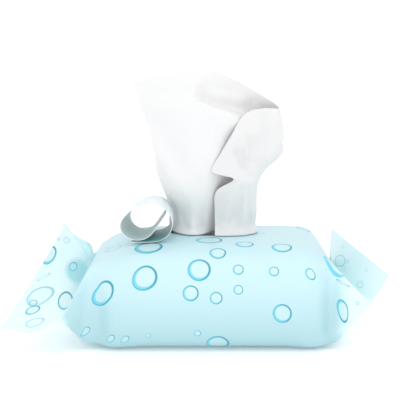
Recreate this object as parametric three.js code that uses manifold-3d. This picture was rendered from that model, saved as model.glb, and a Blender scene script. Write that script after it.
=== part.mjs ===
// An opened soft pack of wet wipes: a printed film pouch, its peeled-back reseal label, the wipe that
// has been pulled half out, and the stack of folded wipes inside.
// Millimetres, +X along the pack, +Y to its back, +Z up. The origin is the centre of the flat base.

import * as THREE from 'three';
import { mergeVertices } from 'three/addons/utils/BufferGeometryUtils.js';
import Module from 'manifold-3d';

const wasm = await Module();
wasm.setup();

// The film is thicker here than the real 0.06 mm, so that the pouch is a sound shell.
const filmWall = 0.7;
const clearance = 0.3;

// How far the corners of a section are rounded: down the near side and across the top, the same at
// the back, then up the sides and across the base.
const pillow = {
  nearSide: 30, nearAcross: 26, farSide: 22, farAcross: 18,
  footSide: 24, footAcross: 22,
};
const leftShoulder = {
  nearSide: 24, nearAcross: 20, farSide: 20, farAcross: 16,
  footSide: 16, footAcross: 14,
};
const rightShoulder = {
  nearSide: 22, nearAcross: 20, farSide: 18, farAcross: 16,
  footSide: 16, footAcross: 14,
};
const boxyEnd = {
  nearSide: 9, nearAcross: 8, farSide: 9, farAcross: 8,
  footSide: 7, footAcross: 6,
};
const flatFin = {
  nearSide: 0.3, nearAcross: 0.3, farSide: 0.3, farAcross: 0.3,
  footSide: 0.3, footAcross: 0.3,
};

// The filled part of the pouch is a rounded pillow that narrows over a shoulder at each end.
const packTop = 61.2;
const boxSections = [
  { x: -57, halfDepth: 43.2, height: 56.2, rounding: leftShoulder },
  { x: -40, halfDepth: 45.3, height: 60.6, rounding: pillow },
  { x: 0, halfDepth: 45.3, height: packTop, rounding: pillow },
  { x: 46, halfDepth: 45.3, height: 61, rounding: pillow },
  { x: 59.5, halfDepth: 43.2, height: 60.3, rounding: rightShoulder },
];

// Beyond its shoulder the pouch is a box with a small rounding, and its top leans back.
const leftEnd = {
  near: [-70.5, -35, 52.5], far: [-66, 35, 50],
  nearFoot: [-76, -37.5, 4], farFoot: [-76, 37.5, 4],
};
const rightEnd = {
  near: [72, -35, 52], far: [66, 35, 52],
  nearFoot: [75.5, -37.5, 3], farFoot: [75.5, 37.5, 3],
};

// Each end fin runs from the line where the two sheets of film meet to its cut edge. A line is given
// by its near and far end, and by how far its middle bows.
const leftFacing = [-0.15, -0.28, 0.95];
const leftRoot = { near: [-87.4, -54, 24.5], far: [-72.8, 48, 45], bow: [0, 0, -12] };
const leftMiddle = { near: [-104.2, -57, 15.2], far: [-83.2, 55, 48.8], bow: [0, 0, -2] };
const leftEdge = { near: [-122.5, -58, 19.8], far: [-92.8, 57, 56.6], bow: [3.7, 0, 0] };
const rightFacing = [-0.89, -0.23, 0.39];
const rightRoot = { near: [94.2, -56, 34.3], far: [75, 52, 36], bow: [-1, 0, -8] };
const rightEdge = { near: [103.9, -60, 51.3], far: [76.3, 61, 52.2], bow: [0, 0, 0] };

// The oval opening in the top.
const openingX = 2;
const openingY = 14;
const openingHalfLength = 26.5;
const openingHalfWidth = 13;

// Each wipe in the stack is a sheet folded in three.
const sheetWidth = 128;
const foldedDepth = 65;
const layer = 0.39;
const layerGap = 0.12;
const wipePitch = 1.56;
const wipeCount = 29;
const stackBase = 2.6;

// The label: a strip glued down at one end, which leaves the film and rolls over on itself. The roll
// is a cone, so its middle, width and height change from its near edge to its far one.
const labelThickness = 0.5;
const labelSteps = 64;
const labelNear = { y: -18.5, middleX: -38, width: 1, height: 1 };
const labelFar = { y: 14.5, middleX: -35.2, width: 0.84, height: 0.93 };
const labelRoute = [
  [-9, 0], [-3, 0], [3, 0.05], [8, 0.9], [12.4, 3.4], [15, 7.6], [15.5, 12.6], [13, 18.2],
  [8.4, 21.8], [2.6, 23.2], [-4, 22], [-9.6, 18.8], [-13.6, 14.6], [-15.5, 10.4], [-14.4, 6],
  [-11, 2.7], [-6.5, 1.3], [-2.4, 1.5], [1.6, 3.4], [6.4, 9.2], [9.4, 13.4], [11.4, 16.4],
];

// The pulled wipe, row by row from its standing free edge to the free edge on the stack.
const pulledThickness = 0.8;
const pulledAcross = 33;
const pulledAlong = 60;
const pulledRows = [
  [[-45.6, 2, 154.5], [-31, -2, 159], [-17, -3, 161.5], [-6, -2, 162.6], [4, 0, 161], [14, 1, 156.5],
    [24, 2, 151], [33, 1, 145.5], [39, -1, 142], [41, -5, 140], [38, -8, 140.5], [33, -9, 140.5]],
  [[-43, 1, 146], [-30, -3, 149], [-18, -6, 152], [-10, -7, 153.5], [-2, -1, 153], [7, 3, 150],
    [17, 4, 146], [28, 4, 141], [38, 1, 136], [43, -4, 131], [37, -9, 131], [24.5, -10.5, 138.5]],
  [[-41, 1, 139], [-29, -4, 141], [-18, -7, 144], [-9, -7, 146], [-2, 0, 143.5], [6, 2, 140],
    [16, 4, 137.5], [28, 4, 134], [39, 1, 130], [43.5, -4, 126.5], [35, -9, 127], [18, -11.5, 133.5]],
  [[-38, 1, 131], [-26, -4, 133], [-14, -8, 138], [-5, -9, 143.5], [3, -9, 140.5], [10, -8, 138.5],
    [19, -2, 134], [30, 3, 128], [41, 1, 124], [43.5, -4, 121.5], [31, -10, 122], [13.5, -12, 126]],
  [[-33.5, 1, 114], [-22, -4, 114], [-10, -8, 114.5], [0, -8, 115], [8, -5, 115.5], [14, -1, 115],
    [24, 3, 114], [35, 3, 113], [43.5, 0, 113], [37, -7, 112.5], [23, -11, 111.5], [7, -12.5, 114.5]],
  [[-32, 4, 101], [-22, -3.5, 101], [-11, -7, 101], [-3, -7, 101], [4, -4, 101], [10, 0, 101],
    [18, 3, 101], [27, 3, 101], [33, 0, 102], [27, -6, 101.5], [14, -10.5, 101], [1.2, -12, 102.5]],
  [[-30.2, 7, 94], [-21.5, -2, 94], [-11.5, -6, 94], [-3.5, -5.5, 94], [3, -2, 94], [9.5, 2.5, 94],
    [18, 5, 94], [25.5, 4, 94], [29, 1, 94.5], [26.5, -4, 95], [21, -8, 96.5], [14, -8.5, 98]],
  [[-28.2, 13, 87.5], [-21, 1.5, 86.5], [-12, -4, 86.5], [-4, -3, 86.5], [2, 1, 86.5], [8, 5.5, 86.5],
    [17, 8, 86], [25, 6.5, 86], [28, 3, 86], [23, -2.5, 86.5], [13, -6.5, 88], [3.6, -7, 89]],
  [[-25, 20.5, 76.5], [-18.5, 9, 75], [-11, 2, 74.5], [-5, 2.5, 74.5], [1, 6.5, 74.5], [7, 10, 74.5],
    [16, 12, 74.5], [24, 10, 74.5], [28, 6.5, 74.5], [22, 1.5, 74.5], [13, -1.5, 74.5], [3, -2.5, 74.5]],
  [[-24.5, 20, 66.5], [-18.5, 10, 66.5], [-11, 3, 66.5], [-5, 4, 66.5], [1, 9, 66.5], [7, 12, 66.5],
    [15, 13, 66.5], [23, 12, 66.5], [27.5, 9, 66.5], [21, 3.5, 66.5], [13, 0.5, 66.5], [3, 0, 66.5]],
  [[-24.5, 18.5, 63.6], [-20.5, 8, 63.4], [-13, 1, 63.3], [-5, 2, 63.4], [1, 9, 63.4], [7, 14, 63.4],
    [15, 15.5, 63.4], [24, 13, 63.4], [29, 9.5, 63.5], [23.5, 2, 63.4], [14, -1.6, 63.3], [3, -1.8, 63.3]],
  [[-21.4, 17, 61.8], [-17.2, 9.8, 61.8], [-11, 5, 61.8], [-5, 6.3, 61.8], [1, 11.5, 61.8],
    [7, 15.5, 61.8], [15, 17, 61.8], [21, 15, 61.8], [25, 12, 61.8], [19.5, 7, 61.8], [12, 3.8, 61.8],
    [3, 3, 61.8]],
  [[-21.2, 17, 60.2], [-17, 10, 60.2], [-11, 5.5, 60.2], [-5, 7, 60.2], [1, 12, 60.2], [7, 16, 60.2],
    [15, 17.5, 60.2], [21, 15.5, 60.2], [24.6, 12.5, 60.2], [19.5, 7.5, 60.2], [12, 4.5, 60.2],
    [3, 4, 60.2]],
  [[-23, 18, 56.5], [-18, 13, 56.5], [-12, 10, 56.5], [-6, 12, 56.5], [0, 16, 56.5], [7, 19, 56.5],
    [15, 20, 56.5], [23, 18.5, 56.5], [26, 15, 56.5], [22, 10, 56.5], [15, 8, 56.5], [7, 8, 56.5]],
];
const foldedRows = [
  { halfWidth: 44, y: 24, z: 52.8 },
  { halfWidth: 54, y: 29, z: 51.6 },
  { halfWidth: 59, y: 31.5, z: 50.6 },
  { halfWidth: 60, y: 32, z: 49.7 },
  { halfWidth: 61, y: 30, z: 48.8 },
  { halfWidth: 62, y: 0, z: 48.6 },
  { halfWidth: 62, y: -31, z: 48.6 },
];

// A rounding takes up at most this share of the side and of the top or base that it is on.
const sideLimit = 0.97;
const acrossLimit = 0.48;

// The steps down each side, round each corner and across the top or base of a section.
const sideSteps = 3;
const cornerSteps = 7;
const acrossSteps = 6;
const halfSteps = 2 * (sideSteps + cornerSteps) + acrossSteps;

const film = new THREE.MeshStandardMaterial({ color: 0xd3f1f7, roughness: 0.28, metalness: 0 });
const paper = new THREE.MeshStandardMaterial({ color: 0xe6f1f2, roughness: 0.4, metalness: 0 });
const cloth = new THREE.MeshStandardMaterial({ color: 0xfbfbfc, roughness: 0.9, metalness: 0 });

// ---- Solids -------------------------------------------------------------------------------------

function solidOf(geometry) {
  const bare = geometry.clone();
  bare.deleteAttribute('normal');
  bare.deleteAttribute('uv');
  const merged = mergeVertices(bare, 1e-4);
  const mesh = new wasm.Mesh({
    numProp: 3,
    vertProperties: merged.attributes.position.array,
    triVerts: new Uint32Array(merged.index.array),
  });
  return new wasm.Manifold(mesh);
}

function geometryOf(solid) {
  const mesh = solid.getMesh();
  const geometry = new THREE.BufferGeometry();
  geometry.setAttribute('position', new THREE.BufferAttribute(mesh.vertProperties, 3));
  geometry.setIndex(new THREE.BufferAttribute(mesh.triVerts, 1));
  return geometry;
}

function indexedGeometry(points, triangles) {
  const geometry = new THREE.BufferGeometry();
  geometry.setFromPoints(points);
  geometry.setIndex(triangles);
  return geometry;
}

// ---- The film pouch -----------------------------------------------------------------------------

// A section of the film tube is a box of four corners, with the rounding of each and the bow of the
// middle of its film.
function section(nearTop, farTop, nearFoot, farFoot, rounding, bow) {
  return {
    nearTop: new THREE.Vector3(...nearTop),
    farTop: new THREE.Vector3(...farTop),
    nearFoot: new THREE.Vector3(...nearFoot),
    farFoot: new THREE.Vector3(...farFoot),
    rounding,
    bow: new THREE.Vector3(...bow),
  };
}

function boxSection({ x, halfDepth, height, rounding }) {
  const nearTop = [x, -halfDepth, height];
  const farTop = [x, halfDepth, height];
  return section(nearTop, farTop, [x, -halfDepth, 0], [x, halfDepth, 0], rounding, [0, 0, 0]);
}

function endSection({ near, far, nearFoot, farFoot }) {
  return section(near, far, nearFoot, farFoot, boxyEnd, [0, 0, 0]);
}

// In a fin both sheets of film lie together, on the line from its near to its far end.
function finSection({ near, far, bow }, facing) {
  const half = new THREE.Vector3(...facing).setLength(filmWall);
  const line = section(near, far, near, far, flatFin, bow);
  line.nearTop.add(half);
  line.farTop.add(half);
  line.nearFoot.sub(half);
  line.farFoot.sub(half);
  return line;
}

function blend(a, b, share) {
  const rounding = {};
  for (const name of Object.keys(a.rounding)) {
    rounding[name] = THREE.MathUtils.lerp(a.rounding[name], b.rounding[name], share);
  }
  return {
    nearTop: a.nearTop.clone().lerp(b.nearTop, share),
    farTop: a.farTop.clone().lerp(b.farTop, share),
    nearFoot: a.nearFoot.clone().lerp(b.nearFoot, share),
    farFoot: a.farFoot.clone().lerp(b.farFoot, share),
    rounding,
    bow: a.bow.clone().lerp(b.bow, share),
  };
}

// The inside of a section, one wall in from it at its sides, its top and its base.
function inset(outer, wall) {
  const alongTop = outer.farTop.clone().sub(outer.nearTop).setLength(wall);
  const alongFoot = outer.farFoot.clone().sub(outer.nearFoot).setLength(wall);
  const downNear = outer.nearFoot.clone().sub(outer.nearTop).setLength(wall);
  const downFar = outer.farFoot.clone().sub(outer.farTop).setLength(wall);
  return {
    nearTop: outer.nearTop.clone().add(alongTop).add(downNear),
    farTop: outer.farTop.clone().sub(alongTop).add(downFar),
    nearFoot: outer.nearFoot.clone().add(alongFoot).sub(downNear),
    farFoot: outer.farFoot.clone().sub(alongFoot).sub(downFar),
    rounding: outer.rounding,
    bow: outer.bow,
  };
}

function towards(from, to, distance, greatestShare) {
  const way = to.clone().sub(from);
  const length = Math.min(distance, way.length() * greatestShare);
  return from.clone().add(way.setLength(length));
}

// Half a section, from the near fold round two corners to the far fold. Each stretch has the same
// number of steps in every section, so that the creases run unbroken from section to section.
function halfLoop(nearFold, nearCorner, farCorner, farFold, near, far, bow) {
  const nearStart = towards(nearCorner, nearFold, near.side, sideLimit);
  const nearEnd = towards(nearCorner, farCorner, near.across, acrossLimit);
  const farStart = towards(farCorner, nearCorner, far.across, acrossLimit);
  const farEnd = towards(farCorner, farFold, far.side, sideLimit);
  const points = [
    ...new THREE.LineCurve3(nearFold, nearStart).getPoints(sideSteps).slice(0, -1),
    ...new THREE.QuadraticBezierCurve3(nearStart, nearCorner, nearEnd).getPoints(cornerSteps).slice(0, -1),
    ...new THREE.LineCurve3(nearEnd, farStart).getPoints(acrossSteps).slice(0, -1),
    ...new THREE.QuadraticBezierCurve3(farStart, farCorner, farEnd).getPoints(cornerSteps).slice(0, -1),
    ...new THREE.LineCurve3(farEnd, farFold).getPoints(sideSteps),
  ];
  return points.map((point, i) => point.clone().addScaledVector(bow, bowShape(i / (points.length - 1))));
}

// The bow is 0 at both folds and 1 at two thirds of the way to the far one.
function bowShape(share) {
  return 6.75 * share ** 2 * (1 - share);
}

// The whole section: over the top from the near fold to the far fold, then back underneath.
function loop({ nearTop, farTop, nearFoot, farFoot, rounding, bow }) {
  const nearFold = nearTop.clone().lerp(nearFoot, 0.5);
  const farFold = farTop.clone().lerp(farFoot, 0.5);
  const near = { side: rounding.nearSide, across: rounding.nearAcross };
  const far = { side: rounding.farSide, across: rounding.farAcross };
  const foot = { side: rounding.footSide, across: rounding.footAcross };
  const over = halfLoop(nearFold, nearTop, farTop, farFold, near, far, bow);
  const under = halfLoop(nearFold, nearFoot, farFoot, farFold, foot, foot, bow);
  return [...over, ...under.slice(1, -1).reverse()];
}

function tube(sections) {
  const loops = sections.map(loop);
  const around = 2 * halfSteps;
  const last = (loops.length - 1) * around;
  const triangles = [];
  for (let k = 0; k < loops.length - 1; k += 1) {
    for (let i = 0; i < around; i += 1) {
      const a = k * around + i;
      const b = k * around + ((i + 1) % around);
      triangles.push(a, a + around, b + around);
      triangles.push(a, b + around, b);
    }
  }
  for (let i = 0; i < halfSteps; i += 1) {
    const topA = i;
    const topB = i + 1;
    const footA = (around - i) % around;
    const footB = around - i - 1;
    triangles.push(topA, topB, footB);
    triangles.push(last + topB, last + topA, last + footB);
    if (i > 0) {
      triangles.push(topA, footB, footA);
      triangles.push(last + footB, last + topA, last + footA);
    }
  }
  return indexedGeometry(loops.flat(), triangles);
}

// The sections over which an end folds together into the root of its fin.
function foldingSections(end, root) {
  return [blend(end, root, 1 / 3), blend(end, root, 2 / 3), blend(end, root, 0.9), root];
}

// The same sections with one more half way between each two.
function withHalfway(sections) {
  const more = sections.slice(1).flatMap((next, i) => [blend(sections[i], next, 0.5), next]);
  return [sections[0], ...more];
}

function pouchOpening() {
  const oval = new THREE.Shape();
  oval.absellipse(openingX, 0, openingHalfLength, openingHalfWidth, 0, 2 * Math.PI);
  const cutDepth = 6;
  const cut = new THREE.ExtrudeGeometry(oval, { depth: cutDepth, bevelEnabled: false, curveSegments: 20 });
  cut.translate(0, openingY, packTop - cutDepth / 2);
  return solidOf(cut);
}

function filmPouch() {
  const leftBox = endSection(leftEnd);
  const rightBox = endSection(rightEnd);
  const body = withHalfway([leftBox, ...boxSections.map(boxSection), rightBox]);
  const leftTent = foldingSections(leftBox, finSection(leftRoot, leftFacing)).reverse();
  const rightTent = foldingSections(rightBox, finSection(rightRoot, rightFacing));
  const leftFin = [finSection(leftEdge, leftFacing), finSection(leftMiddle, leftFacing)];
  const rightFin = [finSection(rightEdge, rightFacing)];
  const outside = solidOf(tube([...leftFin, ...leftTent, ...body, ...rightTent, ...rightFin]));
  // The folded ends lean, so their inside is set in further to keep a whole wall, and it stops where
  // they close up.
  const leaningWall = 2 * filmWall;
  const inside = solidOf(tube([
    ...leftTent.slice(3).map((outer) => inset(outer, leaningWall)),
    ...body.map((outer) => inset(outer, filmWall)),
    ...rightTent.slice(0, -3).map((outer) => inset(outer, leaningWall)),
  ]));
  return geometryOf(outside.subtract(inside).subtract(pouchOpening()));
}

// ---- The label ----------------------------------------------------------------------------------

// The strip's own outline: its route offset to both sides, as a closed shape.
function stripShape(route, thickness, steps) {
  const middle = new THREE.SplineCurve(route.map(([x, z]) => new THREE.Vector2(x, z)));
  const outer = [];
  const inner = [];
  for (let i = 0; i <= steps; i += 1) {
    const place = middle.getPointAt(i / steps);
    const tangent = middle.getTangentAt(i / steps);
    const across = new THREE.Vector2(-tangent.y, tangent.x).multiplyScalar(thickness / 2);
    outer.push(place.clone().sub(across));
    inner.unshift(place.clone().add(across));
  }
  return new THREE.Shape([...outer, ...inner]);
}

// The strip from its near edge to its far one, with each point drawn towards the cone it lies on.
function labelCurl() {
  const shape = stripShape(labelRoute, labelThickness, labelSteps);
  const curl = new THREE.ExtrudeGeometry(shape, { depth: labelFar.y - labelNear.y, bevelEnabled: false });
  curl.rotateX(Math.PI / 2);
  curl.translate(0, labelFar.y, 0);
  const places = curl.attributes.position;
  for (let i = 0; i < places.count; i += 1) {
    const far = places.getY(i) > 0;
    const { middleX, width, height } = far ? labelFar : labelNear;
    places.setX(i, middleX + places.getX(i) * width);
    places.setZ(i, places.getZ(i) * height);
  }
  return curl;
}

// ---- The wipes ----------------------------------------------------------------------------------

// The section of a sheet folded in three, as one ribbon with two round turns.
function foldedShape() {
  const pitch = layer + layerGap;
  const outerTurn = pitch / 2 + layer / 2;
  const innerTurn = pitch / 2 - layer / 2;
  const turnY = foldedDepth / 2 - outerTurn;
  const quarter = Math.PI / 2;
  const shape = new THREE.Shape();
  shape.moveTo(-foldedDepth / 2, 0);
  shape.absarc(turnY, outerTurn, outerTurn, -quarter, quarter, false);
  shape.absarc(-turnY, outerTurn + pitch, innerTurn, -quarter, quarter, true);
  shape.lineTo(foldedDepth / 2, 2 * pitch);
  shape.lineTo(foldedDepth / 2, 2 * pitch + layer);
  shape.absarc(-turnY, outerTurn + pitch, outerTurn, quarter, -quarter, false);
  shape.absarc(turnY, outerTurn, innerTurn, quarter, -quarter, true);
  shape.lineTo(-foldedDepth / 2, layer);
  return shape;
}

function foldedWipe() {
  const settings = { depth: sheetWidth, bevelEnabled: false, curveSegments: 4 };
  const wipe = new THREE.ExtrudeGeometry(foldedShape(), settings);
  const yAxis = new THREE.Vector3(0, 1, 0);
  const zAxis = new THREE.Vector3(0, 0, 1);
  const xAxis = new THREE.Vector3(1, 0, 0);
  wipe.applyMatrix4(new THREE.Matrix4().makeBasis(yAxis, zAxis, xAxis));
  wipe.translate(-sheetWidth / 2, 0, 0);
  return wipe;
}

function evenRow({ halfWidth, y, z }, count) {
  const row = [];
  for (let i = 0; i < count; i += 1) {
    row.push([THREE.MathUtils.lerp(-halfWidth, halfWidth, i / (count - 1)), y, z]);
  }
  return row;
}

function smoothLine(points, steps) {
  const curve = new THREE.CatmullRomCurve3(points, false, 'centripetal');
  const line = [];
  for (let i = 0; i <= steps; i += 1) {
    line.push(curve.getPoint(i / steps));
  }
  return line;
}

// A grid of points through the control rows, smooth both ways.
function sheetGrid(rows) {
  const fineRows = rows.map((row) => smoothLine(row.map((p) => new THREE.Vector3(...p)), pulledAcross));
  const columns = [];
  for (let i = 0; i <= pulledAcross; i += 1) {
    columns.push(smoothLine(fineRows.map((row) => row[i]), pulledAlong));
  }
  return columns;
}

// A sheet of cloth as a closed solid: its grid offset to both sides and joined round the border.
function thickSheet(columns, thickness) {
  const perColumn = columns[0].length;
  const faces = [];
  for (let i = 0; i < columns.length - 1; i += 1) {
    for (let j = 0; j < perColumn - 1; j += 1) {
      const a = i * perColumn + j;
      const b = a + perColumn;
      faces.push(a, a + 1, b + 1);
      faces.push(a, b + 1, b);
    }
  }
  const middle = indexedGeometry(columns.flat(), faces);
  middle.computeVertexNormals();
  const normals = middle.attributes.normal;
  const points = columns.flat();
  const offset = (sign) => points.map((p, n) => {
    const normal = new THREE.Vector3().fromBufferAttribute(normals, n);
    return p.clone().addScaledVector(normal, sign * thickness / 2);
  });
  const back = points.length;
  const triangles = [...faces];
  for (let n = 0; n < faces.length; n += 3) {
    triangles.push(back + faces[n], back + faces[n + 2], back + faces[n + 1]);
  }
  for (const [a, b] of border(columns.length, perColumn)) {
    triangles.push(a, back + a, back + b);
    triangles.push(a, back + b, b);
  }
  return indexedGeometry([...offset(1), ...offset(-1)], triangles);
}

// The border's edges, all in one sense round the sheet.
function border(columnCount, perColumn) {
  const edges = [];
  const last = (columnCount - 1) * perColumn;
  for (let j = 0; j < perColumn - 1; j += 1) {
    edges.push([j, j + 1]);
    edges.push([last + j + 1, last + j]);
  }
  for (let i = 0; i < columnCount - 1; i += 1) {
    const a = i * perColumn;
    edges.push([a + perColumn, a]);
    edges.push([a + perColumn - 1, a + 2 * perColumn - 1]);
  }
  return edges;
}

function pulledWipe() {
  const across = pulledRows[0].length;
  const rows = [...pulledRows, ...foldedRows.map((row) => evenRow(row, across))];
  return thickSheet(sheetGrid(rows), pulledThickness);
}

// ---- The pack -----------------------------------------------------------------------------------

function named(name, geometry, material) {
  const mesh = new THREE.Mesh(geometry, material.clone());
  mesh.name = name;
  return mesh;
}

const pack = new THREE.Group();

pack.add(named('film_pouch', filmPouch(), film));

const label = named('reseal_label', labelCurl(), paper);
label.position.z = packTop + clearance + labelThickness / 2;
pack.add(label);

pack.add(named('pulled_wipe', pulledWipe(), cloth));

const wipeGeometry = foldedWipe();
for (let n = 1; n <= wipeCount; n += 1) {
  const wipe = named(`folded_wipe_${String(n).padStart(2, '0')}`, wipeGeometry, cloth);
  wipe.position.z = stackBase + (n - 1) * wipePitch;
  pack.add(wipe);
}

export default pack;
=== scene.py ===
# %% [markdown]
# # An opened pack of wet wipes
#
# This lesson dresses a finished CAD model of a soft pack of wet wipes: a printed film pouch, its
# peeled-back reseal label, the wipe pulled half out, and the folded stack inside. The frame below
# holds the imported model. Every piece made here stands in for one of its solids, in the same place.

import math

import bpy
import numpy as np
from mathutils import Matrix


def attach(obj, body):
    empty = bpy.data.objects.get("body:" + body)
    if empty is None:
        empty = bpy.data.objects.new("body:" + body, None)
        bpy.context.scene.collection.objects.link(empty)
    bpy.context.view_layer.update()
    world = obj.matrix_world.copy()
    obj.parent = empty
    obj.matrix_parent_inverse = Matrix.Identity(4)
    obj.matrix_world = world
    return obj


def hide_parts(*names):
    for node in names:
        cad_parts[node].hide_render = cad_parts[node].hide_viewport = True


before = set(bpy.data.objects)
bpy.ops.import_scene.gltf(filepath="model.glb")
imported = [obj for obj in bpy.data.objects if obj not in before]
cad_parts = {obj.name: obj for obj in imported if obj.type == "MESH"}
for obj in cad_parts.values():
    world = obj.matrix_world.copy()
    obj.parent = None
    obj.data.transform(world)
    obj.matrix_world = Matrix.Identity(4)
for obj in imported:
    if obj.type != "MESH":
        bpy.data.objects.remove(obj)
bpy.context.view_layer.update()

# %% [markdown]
# ## Camera, light and floor
#
# The pack is seen through a long lens from a little above the table, so it shows its front and a
# narrow strip of its top. A white room, two big soft lights, one overhead and one in front, and a
# pale floor give a bright, even view with hardly any shadow.

# %% Helpers for operators
MM = 0.001


def deselect_all():
    """Operators act on everything that is selected, so each step starts from nothing."""
    bpy.ops.object.select_all(action="DESELECT")


def light_panel(name, place, aim, size, power, colour=(1.0, 1.0, 1.0)):
    """A square soft light at place, in metres, turned to face aim."""
    bpy.ops.object.light_add(type="AREA", location=place)
    lamp = bpy.context.object
    lamp.name = name
    lamp.data.size = size
    lamp.data.energy = power
    lamp.data.color = colour
    way = np.array(aim) - np.array(place)
    flat = math.hypot(way[0], way[1])
    lamp.rotation_euler = (math.atan2(flat, -way[2]), 0, math.atan2(-way[0], way[1]))
    return lamp


# %% The camera
CAMERA_RISE = math.radians(12)
CAMERA_DISTANCE = 1.667
AIM = (-0.006, 0.0, 0.0834)

bpy.ops.object.camera_add(
    location=(
        AIM[0],
        AIM[1] - CAMERA_DISTANCE * math.cos(CAMERA_RISE),
        AIM[2] + CAMERA_DISTANCE * math.sin(CAMERA_RISE),
    ),
    rotation=(math.pi / 2 - CAMERA_RISE, 0, 0),
)
camera = bpy.context.object
camera.name = "camera"
camera.data.lens = 250
camera.data.sensor_width = 36
bpy.context.scene.camera = camera
bpy.context.scene.view_settings.view_transform = "Standard"
print("camera at", tuple(round(v, 3) for v in camera.location))

# %% The light
world = bpy.data.worlds.new("white_room")
bpy.context.scene.world = world
world.use_nodes = True
world.node_tree.nodes["Background"].inputs["Color"].default_value = (1.0, 1.0, 1.0, 1.0)
world.node_tree.nodes["Background"].inputs["Strength"].default_value = 0.93

light_panel("soft_light_above", (0.1, -0.45, 1.1), (0, 0, 0.05), 1.0, 2.4)
light_panel("soft_light_front", (0.2, -1.3, 0.4), (0, 0, 0.1), 1.2, 1.7)
print("lights:", len(bpy.data.lights))


# %% [markdown]
# ## Writing materials
#
# Shader maths is easier to read as plain Python. The small class below wraps one socket and turns
# an expression such as 1 - mask into Math nodes. Any other node comes from one method.

# %% Shader maths as Python
class Value:
    """One shader socket. Arithmetic on it adds the Math nodes."""

    def __init__(self, finish, socket):
        self.finish = finish
        self.socket = socket

    def maths(self, operation, *values):
        return self.finish.node("ShaderNodeMath", {"operation": operation}, list(values))

    def __add__(self, other):
        return self.maths("ADD", self, other)

    def __sub__(self, other):
        return self.maths("SUBTRACT", self, other)

    def __mul__(self, other):
        return self.maths("MULTIPLY", self, other)

    def __radd__(self, other):
        return self.maths("ADD", other, self)

    def __rsub__(self, other):
        return self.maths("SUBTRACT", other, self)

    def __rmul__(self, other):
        return self.maths("MULTIPLY", other, self)

    def __lt__(self, other):
        return self.maths("LESS_THAN", self, other)

    def smaller(self, other):
        return self.maths("MINIMUM", self, other)

    def clamped(self):
        return self.finish.node("ShaderNodeClamp", {}, [self, 0.0, 1.0])

    def from_to(self, low, high):
        """0 at low and 1 at high, with a soft start and end."""
        settings = {"interpolation_type": "SMOOTHSTEP"}
        return self.finish.node("ShaderNodeMapRange", settings, {0: self, 1: low, 2: high})


# %% A material in the making
class Finish:
    """A material in the making."""

    def __init__(self, name):
        self.material = bpy.data.materials.new(name)
        self.material.use_nodes = True
        self.tree = self.material.node_tree
        self.tree.nodes.clear()

    def node(self, kind, settings, values, output=0):
        """Adds a node: its settings first, then the values or links of its sockets."""
        made = self.tree.nodes.new(kind)
        for name, setting in settings.items():
            setattr(made, name, setting)
        pairs = values.items() if isinstance(values, dict) else enumerate(values)
        for key, value in pairs:
            if isinstance(value, Value):
                self.tree.links.new(value.socket, made.inputs[key])
            else:
                made.inputs[key].default_value = value
        return Value(self, made.outputs[output]) if made.outputs else None

    def mix(self, share, first, second):
        """One colour into another."""
        settings = {"data_type": "RGBA"}
        return self.node("ShaderNodeMix", settings, {0: share, 6: first, 7: second}, 2)

    def noise(self, place, scale, detail=2.0, roughness=0.5):
        values = {"Vector": place, "Scale": scale, "Detail": detail, "Roughness": roughness}
        return self.node("ShaderNodeTexNoise", {}, values, "Fac")

    def stretched(self, place, factors):
        settings = {"operation": "MULTIPLY"}
        return self.node("ShaderNodeVectorMath", settings, {0: place, 1: factors})

    def object_place(self):
        return self.node("ShaderNodeTexCoord", {}, [], "Object")

    def flat_place(self, map_name):
        return self.node("ShaderNodeUVMap", {"uv_map": map_name}, [])

    def bump(self, height, distance, strength=1.0):
        values = {"Strength": strength, "Distance": distance, "Height": height}
        return self.node("ShaderNodeBump", {}, values)

    def shade(self, **values):
        """The shader itself. Names are its sockets, with _ for a space."""
        sockets = {name.replace("_", " "): value for name, value in values.items()}
        shader = self.node("ShaderNodeBsdfPrincipled", {}, sockets)
        self.node("ShaderNodeOutputMaterial", {}, {"Surface": shader})
        return self.material


# %% The floor
FLOOR_SIZE = 8
FLOOR_DROP = 0.0002

floor_finish = Finish("floor_paint")
floor_grain = floor_finish.noise(floor_finish.object_place(), 900.0)
floor_material = floor_finish.shade(
    Base_Color=floor_finish.mix(floor_grain, (0.97, 0.97, 0.97, 1), (0.99, 0.99, 0.99, 1)),
    Roughness=0.7,
    Specular_IOR_Level=0.2,
    Emission_Color=(1.0, 1.0, 1.0, 1),
    Emission_Strength=0.16,
)
deselect_all()
bpy.ops.mesh.primitive_plane_add(size=FLOOR_SIZE, location=(0, 0, -FLOOR_DROP))
floor = bpy.context.object
floor.name = "floor"
bpy.ops.object.transform_apply(location=True, rotation=True, scale=True)
floor.data.materials.append(floor_material)
print("floor, in metres:", FLOOR_SIZE, "by", FLOOR_SIZE)

# %% [markdown]
# ## The film pouch
#
# The real pouch is one web of printed film. It is folded round the stack into a tube, sealed under
# the pack along its length, and sealed flat and cut at both ends. Here a flat grid is that web: its
# rows go once round the pack and its columns along it. Each column is laid on its own section, a
# box with four rounded corners, and the box folds together into a flat fin at each end.

# %% Sections of the film tube
# How far each rounding reaches: down the near side and across the top, the same at the back, then
# up the side and across the base.
PILLOW = (30, 26, 22, 18, 24, 22)
LEFT_SHOULDER = (24, 20, 20, 16, 16, 14)
RIGHT_SHOULDER = (22, 20, 18, 16, 16, 14)
BOXY_END = (9, 8, 9, 8, 7, 6)
FIN = (0.12, 0.3, 0.12, 0.3, 0.12, 0.3)


def section(near_top, far_top, near_foot, far_foot, rounding, bow=(0, 0, 0)):
    """Four corners, six roundings and the bow of the middle of the film, as one row of numbers."""
    return np.array([*near_top, *far_top, *near_foot, *far_foot, *rounding, *bow], dtype=float)


def box_section(x, half_depth, height, rounding):
    corners = [(x, y, z) for z in (height, 0) for y in (-half_depth, half_depth)]
    return section(*corners, rounding)


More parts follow.
